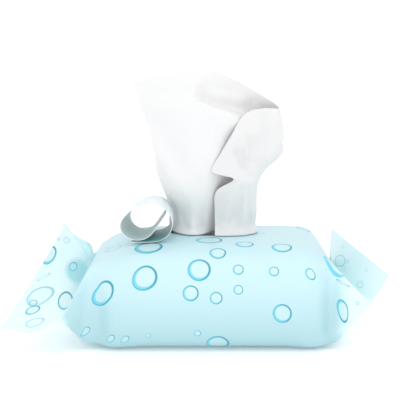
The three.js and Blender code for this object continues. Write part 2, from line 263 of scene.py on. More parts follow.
def fin_section(near, far, facing, bow=(0, 0, 0), half_thickness=0.24):
    """The two sheets of film lying together on the line from near to far."""
    out = np.array(facing) / np.linalg.norm(facing) * half_thickness
    near = np.array(near, dtype=float)
    far = np.array(far, dtype=float)
    return section(near + out, far + out, near - out, far - out, FIN, bow)


FILM_TOP = 61.2
LEFT_FACING = (-0.15, -0.28, 0.95)
RIGHT_FACING = (-0.89, -0.23, 0.39)
sections = [
    fin_section((-122.5, -58, 19.8), (-92.8, 57, 56.6), LEFT_FACING, (3.7, 0, 0)),
    fin_section((-104.2, -57, 15.2), (-83.2, 55, 48.8), LEFT_FACING, (0, 0, -2)),
    fin_section((-87.4, -54, 24.5), (-72.8, 48, 45), LEFT_FACING, (0, 0, -12)),
    section((-70.5, -35, 52.5), (-66, 35, 50), (-76, -37.5, 4), (-76, 37.5, 4), BOXY_END),
    box_section(-57, 43.2, 56.2, LEFT_SHOULDER),
    box_section(-40, 45.3, 60.6, PILLOW),
    box_section(0, 45.3, FILM_TOP, PILLOW),
    box_section(46, 45.3, 61, PILLOW),
    box_section(59.5, 43.2, 60.3, RIGHT_SHOULDER),
    section((72, -35, 52), (66, 35, 52), (75.5, -37.5, 3), (75.5, 37.5, 3), BOXY_END),
    fin_section((94.2, -56, 34.3), (75, 52, 36), RIGHT_FACING, (-1, 0, -8)),
    fin_section((103.9, -60, 51.3), (76.3, 61, 52.2), RIGHT_FACING),
]
# The number of steps from each section to the next, and how far the bend at each one is rounded.
STEPS = [15, 15, 30, 12, 12, 16, 18, 10, 10, 30, 30]
BENDS = [0, 6.0, 2.5, 3.0, 6.0, 8.0, 0, 8.0, 5.0, 3.0, 2.5, 0]
print("sections:", len(sections))


# %% Lay the sections and round the bends between them
def place_along(section):
    """Where a section is along the pack, for measuring how far the next one is."""
    return section[:12].reshape(4, 3).mean(axis=0)


distances = [
    float(np.linalg.norm(place_along(b) - place_along(a))) for a, b in zip(sections, sections[1:])
]
print("from the first section to the last, in mm:", round(sum(distances), 1))


def section_between(k, share):
    """The section at a share of the way from section k to the next, with the bends rounded."""
    here = share * distances[k]
    left = distances[k] - here
    a, b = sections[k], sections[k + 1]
    plain = a + (b - a) * share
    for near_end, bend, index in ((here, BENDS[k], k), (left, BENDS[k + 1], k + 1)):
        if bend > 0 and near_end < bend:
            before = sections[index - 1] + (sections[index] - sections[index - 1]) * (
                1 - bend / distances[index - 1]
            )
            after = sections[index] + (sections[index + 1] - sections[index]) * (
                bend / distances[index]
            )
            t = (bend + (near_end if index == k else -near_end)) / (2 * bend)
            return (1 - t) ** 2 * before + 2 * t * (1 - t) * sections[index] + t**2 * after
    return plain


# %% Once round a section
SIDE_STEPS = 7
CORNER_STEPS = 12
ACROSS_STEPS = 56
# A rounding takes up at most this share of the side, and of the top or base, that it is on.
SIDE_LIMIT = 0.97
ACROSS_LIMIT = 0.48
# share**2 * (1 - share) is 1 / 6.75 at most, so a section's bow is how far its film bows out.
FULL_BOW = 6.75


def curve_points(start, corner, end, steps):
    t = np.linspace(0, 1, steps + 1)[:-1, None]
    return (1 - t) ** 2 * start + 2 * t * (1 - t) * corner + t**2 * end


def line_points(start, end, steps):
    return start + np.linspace(0, 1, steps + 1)[:-1, None] * (end - start)


def half_round(near_fold, near_corner, far_corner, far_fold, side, across):
    """From the near fold, round two corners, to the far fold."""

    def towards(start, goal, distance, most):
        way = goal - start
        length = np.linalg.norm(way)
        return start + way / length * min(distance, length * most)

    a = towards(near_corner, near_fold, side[0], SIDE_LIMIT)
    b = towards(near_corner, far_corner, across[0], ACROSS_LIMIT)
    c = towards(far_corner, near_corner, across[1], ACROSS_LIMIT)
    d = towards(far_corner, far_fold, side[1], SIDE_LIMIT)
    parts = [
        line_points(near_fold, a, SIDE_STEPS),
        curve_points(a, near_corner, b, CORNER_STEPS),
        line_points(b, c, ACROSS_STEPS),
        curve_points(c, far_corner, d, CORNER_STEPS),
        line_points(d, far_fold, SIDE_STEPS),
        far_fold[None],
    ]
    return np.concatenate(parts)


def once_round(section):
    """The whole way round, from the seam under the pack, over the top, and back to the seam."""
    near_top, far_top, near_foot, far_foot = section[:12].reshape(4, 3)
    near_side, near_across, far_side, far_across, foot_side, foot_across = section[12:18]
    near_fold = (near_top + near_foot) / 2
    far_fold = (far_top + far_foot) / 2
    top = half_round(
        near_fold, near_top, far_top, far_fold, (near_side, far_side), (near_across, far_across)
    )
    foot = half_round(
        near_fold, near_foot, far_foot, far_fold, (foot_side, foot_side), (foot_across, foot_across)
    )
    share = np.linspace(0, 1, len(top))[:, None]
    bow = FULL_BOW * share**2 * (1 - share) * section[18:]
    top = top + bow
    foot = foot + bow
    half = len(foot) // 2
    return np.concatenate([foot[half::-1], top[1:], foot[-2 : half - 1 : -1]])


# %% Lay the web
columns = [once_round(sections[0])]
for k, steps in enumerate(STEPS):
    for step in range(1, steps + 1):
        columns.append(once_round(section_between(k, step / steps)))
film = np.array(columns)
print("film web:", film.shape[0], "columns of", film.shape[1], "points")


# %% [markdown]
# A real pouch is never a clean solid of sections. Filling and handling leave soft hollows and
# ridges, which are pushed in here one by one: each is a place, a reach and a push, in millimetres.

# %% Dents and ridges
def push_film(web, place, reach, push):
    """Moves the film near a place. The push fades with distance over the reach."""
    away = (web - np.array(place, dtype=float)) / np.array(reach, dtype=float)
    strength = np.exp(-0.5 * (away**2).sum(axis=-1))
    web += strength[..., None] * np.array(push, dtype=float)


FILM_DENTS = [
    ((-66, -42, 14), (3.5, 12, 15), (0.5, 3.0, 0)),
    ((-60, -44, 12), (3.5, 12, 12), (0, -0.7, 0)),
    ((71, -40, 18), (3.0, 12, 17), (-0.5, 3.4, 0)),
    ((66, -42, 22), (3.5, 12, 14), (0, -0.7, 0)),
]
for place, reach, push in FILM_DENTS:
    push_film(film, place, reach, push)
# The seam lies under the film, so the film starts a little above the table.
FILM_LOWEST = 0.35
film[..., 2] = np.maximum(film[..., 2], FILM_LOWEST)
print("dents and ridges:", len(FILM_DENTS))


# %% [markdown]
# The flat grid gets a second set of coordinates, in metres of film: how far along the web and how
# far round it a point lies. The print is laid out on these, so a bubble stays round on the film
# whichever way the film is folded.

# %% The web as a mesh
def web_lengths(web, axis, zero_at):
    """Length of film from the zero column or row to each point, along one axis of the web."""
    steps = np.linalg.norm(np.diff(web, axis=axis), axis=-1)
    lengths = np.cumsum(steps, axis=axis)
    start = np.zeros_like(np.take(lengths, [0], axis=axis))
    lengths = np.concatenate([start, lengths], axis=axis)
    return lengths - np.take(lengths, [zero_at], axis=axis)


def laid_grid(name, points, flat_along, flat_around, map_name):
    """A grid primitive as the flat web, laid on points. flat_* are its sizes in metres."""
    count_along, count_around = points.shape[0] - 1, points.shape[1] - 1
    deselect_all()
    bpy.ops.mesh.primitive_grid_add(
        x_subdivisions=count_along, y_subdivisions=count_around, size=1, location=(0, 0, 0)
    )
    piece = bpy.context.object
    piece.name = name
    mesh = piece.data
    flat = np.empty(len(mesh.vertices) * 3)
    mesh.vertices.foreach_get("co", flat)
    flat = flat.reshape(-1, 3)
    i = np.rint((flat[:, 0] + 0.5) * count_along).astype(int)
    j = np.rint((flat[:, 1] + 0.5) * count_around).astype(int)
    mesh.vertices.foreach_set("co", (points[i, j] * MM).ravel())
    corner = np.empty(len(mesh.loops), dtype=int)
    mesh.loops.foreach_get("vertex_index", corner)
    uv = np.stack([flat_along[i, j][corner], flat_around[i, j][corner]], axis=1)
    layer = mesh.uv_layers[0]
    layer.name = map_name
    layer.data.foreach_set("uv", uv.ravel())
    mesh.update()
    return piece


# %% Lay the pouch
top_middle = film.shape[1] // 2
zero_column = film.shape[0] // 2
film_along = web_lengths(film, 0, zero_column) * MM
film_around = web_lengths(film, 1, top_middle) * MM
pouch = laid_grid("printed_film_pouch", film, film_along, film_around, "film_web")
print("film web reaches", film_along.min(), film_along.max(), film_around.min(), film_around.max())

# %% [markdown]
# Film is thin but it has an inside and an outside. Solidify gives a sheet its thickness, and here
# it works inwards, so that the outside keeps its size. The same helper serves the label and the
# wipes, which get theirs on both sides.

# %% Helpers for thin sheets
def apply_last_modifier(piece):
    bpy.ops.object.modifier_apply(modifier=piece.modifiers[-1].name)


def thicken(piece, thickness, offset=0, new_face=0, rim=0):
    """Gives the active sheet its thickness, in millimetres: to both sides, or at -1 inwards.

    new_face and rim say which of its materials, counted from the first, those faces get.
    """
    bpy.ops.object.modifier_add(type="SOLIDIFY")
    solidify = piece.modifiers[-1]
    solidify.thickness = thickness * MM
    solidify.offset = offset
    solidify.material_offset = new_face
    solidify.material_offset_rim = rim
    apply_last_modifier(piece)


def smooth_up_to(degrees):
    """Shades the active piece smooth, apart from edges sharper than this."""
    bpy.ops.object.shade_smooth_by_angle(angle=math.radians(degrees))


# %% Close the tube and give the film its thickness
bpy.ops.object.mode_set(mode="EDIT")
bpy.ops.mesh.select_all(action="SELECT")
bpy.ops.mesh.remove_doubles(threshold=1e-6)
bpy.ops.mesh.normals_make_consistent(inside=False)
bpy.ops.object.mode_set(mode="OBJECT")
thicken(pouch, 0.2, offset=-1)
print("pouch faces:", len(pouch.data.polygons))

# %% [markdown]
# The opening is an oval that the maker cuts in the top film under the label. The wipes are drawn
# through it, so it is cut right through with a flat oval block.

# %% Cut the opening
OPENING_MIDDLE = (2, 14)
OPENING_HALF = (26.5, 13)
CUT_DEPTH = 12

deselect_all()
bpy.ops.mesh.primitive_cylinder_add(
    vertices=72,
    radius=1,
    depth=CUT_DEPTH * MM,
    location=(OPENING_MIDDLE[0] * MM, OPENING_MIDDLE[1] * MM, FILM_TOP * MM),
)
cutter = bpy.context.object
cutter.scale = (OPENING_HALF[0] * MM, OPENING_HALF[1] * MM, 1)
bpy.ops.object.transform_apply(location=True, rotation=True, scale=True)
deselect_all()
pouch.select_set(True)
bpy.context.view_layer.objects.active = pouch
bpy.ops.object.modifier_add(type="BOOLEAN")
pouch.modifiers[-1].operation = "DIFFERENCE"
pouch.modifiers[-1].object = cutter
pouch.modifiers[-1].solver = "EXACT"
apply_last_modifier(pouch)
bpy.data.objects.remove(cutter, do_unlink=True)
smooth_up_to(50)
print("pouch faces with its opening:", len(pouch.data.polygons))

# %% [markdown]
# ## The printed film
#
# The film is a glossy pale cyan with a print of bubbles: rings with a darker upper right side, a
# wider and lighter lower left, and a clear middle. An image could carry the print, but a short list
# stays sharp at any size: each bubble is a row that says how far along the web it lies, how far
# round it from the middle of the top, and its radius, in millimetres. The back of the pack carries
# the same scatter again, turned round, as a repeating print does.

# %% The bubbles
FRONT_BUBBLES = [
    (-62, -54, 7.6), (-36, -53, 7.6), (-4, -49, 6.9), (-34, -28, 8.6), (-9, -63, 4.8),
    (6, -66, 3.8), (19, -61, 2.9), (19, -49, 3.2), (40, -50, 3.0), (62, -49, 3.4),
    (7, -37, 5.0), (23, -25, 5.6), (45, -30, 6.2), (45, -75, 5.8), (7, -97, 7.0),
    (-5, -88, 2.1), (-34, -89, 1.6), (-57, -84, 2.7), (-48, -88, 2.7), (-75, -73, 2.6),
    (2, -15, 8.1), (12, 30, 4.0), (-16, 34, 5.5), (60, 24, 4.6),
]
# In the folded ends the film is gathered and pulled askew before it is sealed, so the bubbles there
# are long: two more numbers give each one's width as a share of its length, and its turn.
END_BUBBLES = [
    (-124, -28, 4.4, 0.42, 54), (-125, -35, 8.4, 0.26, 52), (-119, 23, 11.0, 0.38, 82),
    (-101, 31, 5.8, 0.45, 82), (-103, -14, 15.0, 0.30, 79), (-118, 43, 1.5, 0.6, 77),
    # The very thin one at (86, -43) is a painted fold shadow: a dark line where the film turns under.
    (87, -60, 8.3, 0.52, -55), (86, -43, 6.0, 0.10, -22), (98, -55, 1.6, 0.6, -24),
]
# The front's bubbles lie further round than this from the middle of the top, and this far on is
# the same place at the back.
FRONT_SIDE = -20
ROUND_TO_BACK = 128
BUBBLES = FRONT_BUBBLES + END_BUBBLES + [
    (-along, around + ROUND_TO_BACK, radius)
    for along, around, radius in FRONT_BUBBLES
    if around < FRONT_SIDE
]
FAINT_BUBBLES = [
    (33, 5, 2.7), (-56, -12, 5.2), (-63, -4, 4.2), (-119, -18, 17.0, 0.28, 59),
    (-126, -47, 9.3, 0.30, 46), (-118, 1, 8.8, 0.10, 63), (-113, 49, 3.9, 0.55, 77),
    (111, 32, 12.0, 0.32, -86), (108, 21, 4.5, 0.35, -83), (113, 17, 3.4, 0.4, -83),
    (120, 32, 2.6, 0.4, -87), (120, -23, 2.4, 0.4, -70), (110, -20, 7.0, 0.30, -70),
]
# At the right end the film turns under, with a crescent of stronger blue beside the fold.
CRESCENT = (82.5, -28.5, 11.3)
# Painted shade: where the gathered film lies in the pocket of the left end, its colour is drawn deeper.
POCKET_SHADE = (-97, 30, 17, 0.55, 80)
print("bubbles:", len(BUBBLES), "and faint ones:", len(FAINT_BUBBLES))


# %% The colours of the film and its print
FILM_BLUE = (0.59, 0.82, 0.875, 1)
FILM_LOW_SHADE = (0.44, 0.67, 0.72, 1)
FILM_LIT_THROUGH = (0.80, 0.97, 0.99, 1)
FILM_POCKET_SHADE = (0.42, 0.74, 0.80, 1)
RING_DARK = (0.045, 0.34, 0.43, 1)
RING_SKY = (0.08, 0.47, 0.62, 1)
RING_LIGHT = (0.20, 0.66, 0.82, 1)
CLEAR_MIDDLE = (0.62, 0.82, 0.85, 1)

# %% The print
def towards_side(finish, place, direction):
    """How far a place lies towards a direction."""
    return finish.node(
        "ShaderNodeVectorMath", {"operation": "DOT_PRODUCT"}, {0: place, 1: direction}, "Value"
    )


def in_bubble(finish, flat, along, around, radius, squash=1.0, turn=0.0):
    """Where a point is in a bubble, as a place in a circle of radius 1, and how far out."""
    cos, sin = math.cos(math.radians(turn)), math.sin(math.radians(turn))
    x_axis = (cos / radius, sin / radius)
    y_axis = (-sin / radius / squash, cos / radius / squash)
    parts = []
    for x, y in (x_axis, y_axis):
        parts.append(towards_side(finish, flat, (x / MM, y / MM, 0)) - (x * along + y * around))
    place = finish.node("ShaderNodeCombineXYZ", {}, parts)
    away = finish.node("ShaderNodeVectorMath", {"operation": "LENGTH"}, {0: place}, "Value")
    return place, away


def nearest_bubble(finish, flat, bubbles):
    """The same for whichever of the bubbles is nearest, each measured in its own radius."""
    nearest, nearest_away = in_bubble(finish, flat, *bubbles[0])
    for bubble in bubbles[1:]:
        place, away = in_bubble(finish, flat, *bubble)
        closer = away < nearest_away
        nearest = finish.node(
            "ShaderNodeMix", {"data_type": "VECTOR"}, {0: closer, 4: nearest, 5: place}, 1
        )
        nearest_away = away.smaller(nearest_away)
    return nearest


def circle(finish, place, middle, radius, softness):
    """1 inside a circle and 0 outside it."""
    offset = finish.node(
        "ShaderNodeVectorMath", {"operation": "SUBTRACT"}, {0: place, 1: (*middle, 0.0)}
    )
    away = finish.node("ShaderNodeVectorMath", {"operation": "LENGTH"}, {0: offset}, "Value")
    return 1 - away.from_to(radius - softness, radius + softness)


def print_bubbles(finish, colour, flat, bubbles, strength):
    """The bubbles' rings over a colour: a fine dark line outside and a wider light one within."""
    bubble = nearest_bubble(finish, flat, bubbles)
    disc = circle(finish, bubble, (0, 0), 0.98, 0.045)
    line_hole = circle(finish, bubble, (-0.04, -0.01), 0.86, 0.05)
    clear = circle(finish, bubble, (0.05, 0.05), 0.75, 0.07)
    shade_side = towards_side(finish, bubble, (0.9, 0.25, 0)).from_to(-0.9, 0.7)
    line_colour = finish.mix(shade_side, RING_SKY, RING_DARK)
    colour = finish.mix((disc - clear).clamped() * strength, colour, RING_LIGHT)
    colour = finish.mix(clear * (0.5 * strength), colour, CLEAR_MIDDLE)
    return finish.mix(disc * (1 - line_hole) * strength, colour, line_colour)


# %% The film's colour
web_end_left = float(film_along.min())
web_end_right = float(film_along.max())
# Between which heights the painted shade low on the sides fades out, and along which stretches of
# the web the fins' painted light comes in, in metres.
LOW_SHADE_HEIGHTS = (0.002, 0.05)
RIGHT_FIN_STARTS = (0.076, 0.094)
LEFT_FIN_STARTS = (-0.105, -0.088)

film_finish = Finish("printed_film")
flat = film_finish.flat_place("film_web")
along_web = film_finish.node("ShaderNodeSeparateXYZ", {}, [flat], "X")
# Painted shade: the film is drawn a touch darker and greyer low on the sides of the pack.
height = film_finish.node("ShaderNodeSeparateXYZ", {}, [film_finish.object_place()], "Z")
colour = film_finish.mix(1 - height.from_to(*LOW_SHADE_HEIGHTS), FILM_BLUE, FILM_LOW_SHADE)
# Painted light: the fins are drawn paler, as if light came through their film with nothing behind it.
colour = film_finish.mix(along_web.from_to(*RIGHT_FIN_STARTS), colour, FILM_LIT_THROUGH)
colour = film_finish.mix(1 - along_web.from_to(*LEFT_FIN_STARTS), colour, FILM_LIT_THROUGH)
# Painted shade in the pocket of the left end.
pocket_shade_away = in_bubble(film_finish, flat, *POCKET_SHADE)[1]
colour = film_finish.mix(1 - pocket_shade_away.from_to(0.6, 1.1), colour, FILM_POCKET_SHADE)
colour = print_bubbles(film_finish, colour, flat, FAINT_BUBBLES, 0.4)
colour = print_bubbles(film_finish, colour, flat, BUBBLES, 1.0)
crescent_place = in_bubble(film_finish, flat, *CRESCENT)[0]
crescent = circle(film_finish, crescent_place, (0, 0), 1.0, 0.03) * (
    1 - circle(film_finish, crescent_place, (0.21, 0.13), 0.95, 0.04)
)
colour = film_finish.mix(crescent, colour, RING_LIGHT)
print("film web ends, in metres:", round(web_end_left, 4), round(web_end_right, 4))

# %% The film's bumps and gloss
# The crimped band along each cut end, and how softly it starts, in metres.
CRIMP = 0.009
CRIMP_SOFTNESS = 0.0005
# How much each of the three reliefs adds to the bump.
CRINKLE_SHARE = 0.25
FOLD_SHARE = 0.6
RIB_SHARE = 0.22

tone = film_finish.noise(flat, 60.0)
crinkle = film_finish.noise(film_finish.object_place(), 110.0, 3.0, 0.55)
soft_folds = film_finish.noise(film_finish.stretched(flat, (1.0, 0.45, 1.0)), 30.0, 2.0, 0.5)
ribs = film_finish.node(
    "ShaderNodeTexWave",
    {"wave_type": "BANDS", "bands_direction": "X", "wave_profile": "SIN"},
    {"Vector": flat, "Scale": 240.0},
    "Fac",
)
from_left = along_web - (web_end_left + CRIMP)
from_right = (web_end_right - CRIMP) - along_web
crimp = (1 - from_left.from_to(-CRIMP_SOFTNESS, CRIMP_SOFTNESS)) + (
    1 - from_right.from_to(-CRIMP_SOFTNESS, CRIMP_SOFTNESS)
)
film_material = film_finish.shade(
    Base_Color=colour,
    Roughness=0.3 + 0.12 * tone,
    IOR=1.45,
    Normal=film_finish.bump(
        CRINKLE_SHARE * crinkle + FOLD_SHARE * soft_folds + RIB_SHARE * (ribs * crimp), 0.001, 0.5
    ),
)

# %% Dress the pouch
pouch.data.materials.append(film_material)
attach(pouch, "root")
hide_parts("film_pouch")
print("nodes in the film's material:", len(film_material.node_tree.nodes))


# %% [markdown]
# ## The seam underneath
#
# The web's two long edges are sealed together in a fin that is folded flat under the pack. It shows
# only when the pack is turned over, as a plain strip along the middle of the base.

# %% The back seam
SEAM_REACH = 74
SEAM_EDGES = (-1, 9)
SEAM_HEIGHT = 0.16
# The seam reads the print's coordinates this far round the web, where no bubble lies.
SEAM_AROUND = 130
SEAM_POINTS = (75, 6)

seam_x, seam_y = np.meshgrid(
    np.linspace(-SEAM_REACH, SEAM_REACH, SEAM_POINTS[0]),
    np.linspace(*SEAM_EDGES, SEAM_POINTS[1]),
    indexing="ij",
)
seam_points = np.stack([seam_x, seam_y, np.full_like(seam_x, SEAM_HEIGHT)], axis=-1)
seam = laid_grid("back_seam", seam_points, seam_x * MM, (seam_y + SEAM_AROUND) * MM, "film_web")
thicken(seam, 0.15)
seam.data.materials.append(film_material)
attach(seam, "root")
print("seam, in mm:", 2 * SEAM_REACH, "by", SEAM_EDGES[1] - SEAM_EDGES[0])


# %% [markdown]
# ## Smooth lines
#
# The label and the wipes are thin sheets that bend smoothly. A few chosen points are joined by a
# smooth line that passes through all of them, which keeps the lists of points short.

# %% A smooth line through points
def smooth_line(points, steps):
    """steps + 1 points on a smooth line through the given ones, the same number in each stretch."""
    points = np.array(points, dtype=float)
    full = np.concatenate([[2 * points[0] - points[1]], points, [2 * points[-1] - points[-2]]])
    where = np.linspace(0, len(points) - 1, steps + 1)
    k = np.minimum(where.astype(int), len(points) - 2)
    t = (where - k)[:, None]
    p0, p1, p2, p3 = full[k], full[k + 1], full[k + 2], full[k + 3]
    d0 = np.sqrt(np.linalg.norm(p1 - p0, axis=1, keepdims=True))
    d1 = np.sqrt(np.linalg.norm(p2 - p1, axis=1, keepdims=True))
    d2 = np.sqrt(np.linalg.norm(p3 - p2, axis=1, keepdims=True))
    slope1 = ((p1 - p0) / d0 - (p2 - p0) / (d0 + d1) + (p2 - p1) / d1) * d1
    slope2 = ((p2 - p1) / d1 - (p3 - p1) / (d1 + d2) + (p3 - p2) / d2) * d1
    return (
        p1
        + slope1 * t
        + (3 * (p2 - p1) - 2 * slope1 - slope2) * t**2
        + (2 * (p1 - p2) + slope1 + slope2) * t**3
    )


# %% [markdown]
# ## The reseal label
#
# The label is a strip of coated paper, glued down at one end. It has been peeled off the opening
# and has rolled over on itself. It could be bent with a modifier, but its roll is a cone that closes
# on itself, so it is a flat grid laid on its own side view. Its free corners are rounded, and it
# is given the thickness of label paper, with a finish each for its two faces and its cut edge.

# %% The label strip
LABEL_ROUTE = [
    (-9, 0), (-3, 0), (3, 0.05), (8, 0.9), (12.4, 3.4), (15, 7.6), (15.5, 12.6), (13, 18.2),
    (8.4, 21.8), (2.6, 23.2), (-4, 22), (-9.6, 18.8), (-13.6, 14.6), (-15.5, 10.4), (-14.4, 6),
    (-11, 2.7), (-6.5, 1.3), (-2.4, 1.5), (1.6, 3.4), (6.4, 9.2), (9.4, 13.4), (11.4, 16.4),
]
LABEL_NEAR, LABEL_FAR = -18.5, 14.5
# The roll is a cone: its middle and its size change from the near edge to the far one.
ROLL_MIDDLE_X = (-38.0, -35.2)
ROLL_WIDTH = (1.0, 0.84)
ROLL_HEIGHT = (1.0, 0.93)
CORNER = 7.0
LABEL_LIFT = 0.45
LABEL_STEPS = 126
LABEL_POINTS_ACROSS = 37

# %% Lay the label strip
route = smooth_line([(x, 0, z) for x, z in LABEL_ROUTE], LABEL_STEPS)
route_length = np.concatenate([[0], np.cumsum(np.linalg.norm(np.diff(route, axis=0), axis=1))])
width = LABEL_FAR - LABEL_NEAR
to_end = np.minimum(route_length[-1] - route_length, CORNER)
# The free corners are rounded: the strip narrows over the last few millimetres of its length.
narrowing = CORNER - np.sqrt(CORNER**2 - (CORNER - to_end) ** 2)
share = np.linspace(0, 1, LABEL_POINTS_ACROSS)[None, :]
across = LABEL_NEAR + narrowing[:, None] + share * (width - 2 * narrowing[:, None])
cone = (across - LABEL_NEAR) / width
label_points = np.stack(
    [
        np.interp(cone, (0, 1), ROLL_MIDDLE_X) + route[:, :1] * np.interp(cone, (0, 1), ROLL_WIDTH),
        across,
        FILM_TOP + LABEL_LIFT + route[:, 2:] * np.interp(cone, (0, 1), ROLL_HEIGHT),
    ],
    axis=-1,
)
label_along = np.broadcast_to(route_length[:, None] * MM, across.shape)
label = laid_grid("peeled_label", label_points, label_along, across * MM, "label_web")
print("label length, mm:", round(float(route_length[-1]), 1))


# %% The label's finishes
def label_paper(name, far_colour, near_colour):
    """Coated paper. It runs from one colour at the glued end to another beyond the bend."""
    finish = Finish(name)
    place = finish.flat_place("label_web")
    tone = finish.noise(place, 220.0)
    along = finish.node("ShaderNodeSeparateXYZ", {}, [place], "X")
    colour = finish.mix(along.from_to(0.018, 0.034), near_colour, far_colour)
    return finish.shade(
        Base_Color=finish.mix(0.06 * tone, colour, (0.5, 0.6, 0.6, 1)),
        Roughness=0.32 + 0.1 * tone,
        IOR=1.45,
        Normal=finish.bump(tone, 0.0002, 0.2),
    )


outer_paper = label_paper("label_outer_face", (0.86, 0.94, 0.95, 1), (0.80, 0.93, 0.95, 1))
# On the inner face, the deep teal towards the glued end is painted shade: the shadow under the roll.
inner_paper = label_paper("label_inner_face", (0.50, 0.65, 0.65, 1), (0.18, 0.48, 0.49, 1))
cut_paper = label_paper("label_cut_edge", (0.93, 0.96, 0.96, 1), (0.90, 0.95, 0.95, 1))
for paper in (inner_paper, outer_paper, cut_paper):
    label.data.materials.append(paper)
print("label finishes:", [material.name for material in label.data.materials])

# %% Give the label its thickness
# The first material is on the face that looks into the roll, the second on the new face outside it,
# and the third on the cut edge.
thicken(label, 0.28, new_face=1, rim=2)
smooth_up_to(50)
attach(label, "root")
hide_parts("reseal_label")
print("label faces:", len(label.data.polygons))

# %% [markdown]
# ## The pulled wipe
#
# One wipe is half out of the opening and stands up by its own stiffness. It is a single sheet:
# smooth on the left, doubled forward under its top edge, and pinched together at the opening. Rows
# of points across the sheet set its folds, from the standing free edge down to the free edge on
# the stack. A cloth simulation would not find this one shape again, so it is laid from listed rows.

# %% Rows of the pulled wipe
PULLED_ROWS = [
    [(-45.6, 2, 154.5), (-31, -2, 159), (-17, -3, 161.5), (-6, -2, 162.6), (4, 0, 161),
     (14, 1, 156.5), (24, 2, 151), (33, 1, 145.5), (39, -1, 142), (41, -5, 140), (38, -7, 140.5),
     (33, -6, 140.5)],
    [(-43, 1, 146), (-30, -3, 149), (-18, -6, 152), (-10, -7, 153.5), (-2, -1, 153), (7, 3, 150),
     (17, 4, 146), (28, 4, 141), (38, 1, 136), (43, -4, 131), (37, -8, 131),
     (24.5, -3.5, 138.5)],
    [(-41, 1, 139), (-29, -4, 141), (-18, -7, 144), (-9, -7, 146), (-2, 0, 143.5), (6, 2, 140),
     (16, 4, 137.5), (28, 4, 134), (39, 1, 130), (43.5, -4, 126.5), (35, -8, 127),
     (18, -4.5, 133.5)],
    [(-38, 1, 131), (-26, -4, 133), (-14, -8, 138), (-5, -9, 143.5), (3, -9, 140.5),
     (10, -8, 138.5), (19, -2, 134), (30, 3, 128), (41, 1, 124), (43.5, -4, 121.5),
     (31, -8, 122), (13.5, -8, 126)],
    [(-33.5, 1, 114), (-22, -4, 114), (-10, -8, 114.5), (0, -8, 115), (8, -5, 115.5),
     (14, -1, 115), (24, 3, 114), (35, 3, 113), (43.5, 0, 113), (37, -7, 112.5), (23, -9, 111.5),
     (7, -7.4, 114.5)],
    [(-32, 4, 101), (-22, -3.5, 101), (-11, -7, 101), (-3, -7, 101), (4, -4, 101), (10, 0, 101),
     (18, 3, 101), (27, 3, 101), (33, 0, 102), (27, -6, 101.5), (14, -8.5, 101),
     (1.2, -7.2, 102.5)],
    [(-30.2, 7, 94), (-21.5, -2, 94), (-11.5, -6, 94), (-3.5, -5.5, 94), (3, -2, 94),
     (9.5, 2.5, 94), (18, 5, 94), (25.5, 4, 94), (29, 1, 94.5), (26.5, -4, 95), (21, -8, 96.5),
     (14, -8.5, 98)],
    [(-28.2, 13, 87.5), (-21, 1.5, 86.5), (-12, -4, 86.5), (-4, -3, 86.5), (2, 1, 86.5),
     (8, 5.5, 86.5), (17, 8, 86), (25, 6.5, 86), (28, 3, 86), (23, -2.5, 86.5), (13, -4.5, 88),
     (3.6, -1.8, 89)],
    [(-25, 20.5, 76.5), (-18.5, 9, 75), (-11, 2, 74.5), (-5, 2.5, 74.5), (1, 6.5, 74.5),
     (7, 10, 74.5), (16, 12, 74.5), (24, 10, 74.5), (28, 6.5, 74.5), (22, 1.5, 74.5),
     (13, 0.3, 74.5), (3, 3, 74.5)],
    [(-24.5, 20, 66.5), (-18.5, 10, 66.5), (-11, 3, 66.5), (-5, 4, 66.5), (1, 9, 66.5),
     (7, 12, 66.5), (15, 13, 66.5), (23, 12, 66.5), (27.5, 9, 66.5), (21, 3.5, 66.5),
     (13, 0.8, 66.5), (3, 2.6, 66.5)],
    [(-24.5, 18.5, 61.9), (-20.5, 8, 61.9), (-13, 1, 61.9), (-5, 2, 61.9), (1, 9, 61.9),
     (7, 14, 61.9), (15, 15.5, 61.9), (24, 13, 61.9), (29, 9.5, 61.9), (23.5, 2, 61.9),
     (14, -1.6, 61.9), (3, -1.8, 61.9)],
    [(-21.4, 17, 61.8), (-17.2, 9.8, 61.8), (-11, 5, 61.8), (-5, 6.3, 61.8), (1, 11.5, 61.8),
     (7, 15.5, 61.8), (15, 17, 61.8), (21, 15, 61.8), (25, 12, 61.8), (19.5, 7, 61.8),
     (12, 3.8, 61.8), (3, 3, 61.8)],
    [(-21.2, 17, 60.2), (-17, 10, 60.2), (-11, 5.5, 60.2), (-5, 7, 60.2), (1, 12, 60.2),
     (7, 16, 60.2), (15, 17.5, 60.2), (21, 15.5, 60.2), (24.6, 12.5, 60.2), (19.5, 7.5, 60.2),
     (12, 4.5, 60.2), (3, 4, 60.2)],
    [(-23, 18, 56.5), (-18, 13, 56.5), (-12, 10, 56.5), (-6, 12, 56.5), (0, 16, 56.5),
     (7, 19, 56.5), (15, 20, 56.5), (23, 18.5, 56.5), (26, 15, 56.5), (22, 10, 56.5),
     (15, 8, 56.5), (7, 8, 56.5)],
]
# The folded part on the stack: half width, place from front to back, and height of each row.
FOLDED_ROWS = [
    (44, 24, 52.8), (54, 29, 51.6), (59, 31.5, 50.6), (60, 32, 49.7), (61, 30, 48.8), (62, 0, 48.6),
    (62, -31, 48.6),
]

# %% Join the rows
ACROSS = 143
ALONG = 204

rows = [smooth_line(row, ACROSS) for row in PULLED_ROWS]
for half_width, y, z in FOLDED_ROWS:
    x = np.linspace(-half_width, half_width, ACROSS + 1)
    rows.append(np.stack([x, np.full_like(x, y), np.full_like(x, z)], axis=1))
rows = np.array(rows)
wipe_points = np.array([smooth_line(rows[:, i], ALONG) for i in range(ACROSS + 1)])
print("pulled wipe:", wipe_points.shape[0], "by", wipe_points.shape[1], "points")

# %% [markdown]
# Handling leaves a damp cloth with shallow creases. Each is a line pressed into the laid sheet,
# which keeps the sheet's size nearly the same.

